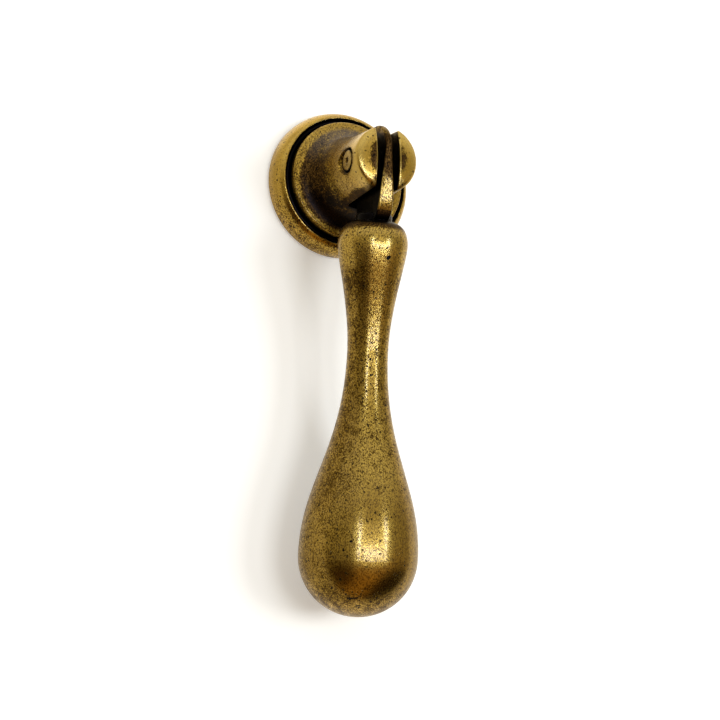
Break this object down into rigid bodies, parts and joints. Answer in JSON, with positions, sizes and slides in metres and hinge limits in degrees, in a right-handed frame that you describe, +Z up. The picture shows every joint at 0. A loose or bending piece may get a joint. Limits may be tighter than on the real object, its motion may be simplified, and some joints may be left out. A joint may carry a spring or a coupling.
{
  "type": "drop pull",
  "caption": "Drawer pull with a round stepped foot and a slotted post, from which a waisted, bulb-ended drop hangs and swings on a cross pin.",
  "frame": {"origin": "centre of the foot's back face, on the axis of the fixing hole", "axes": "+X to the right for someone facing the drawer, +Y into the drawer front, +Z up; the drop hangs towards -Z"},
  "size_m": [0.022, 0.0186, 0.0752],
  "materials": {
    "post_brass": "antique, dark patina in the recesses",
    "pin_brass": "antique, lightly rubbed",
    "drop_brass": "antique, rubbed bright on the bulb"
  },
  "bodies": {
    "post": {"rosette_post": "post_brass", "pivot_pin": "pin_brass"},
    "hanging_drop": {"drop": "drop_brass"}
  },
  "joints": [
    {"name": "drop_swing", "type": "hinge", "parent": "post", "child": "hanging_drop", "pos_m": [0, -0.0143, 0], "axis": [-1, 0, 0], "range_deg": [0, 191.8]}
  ]
}
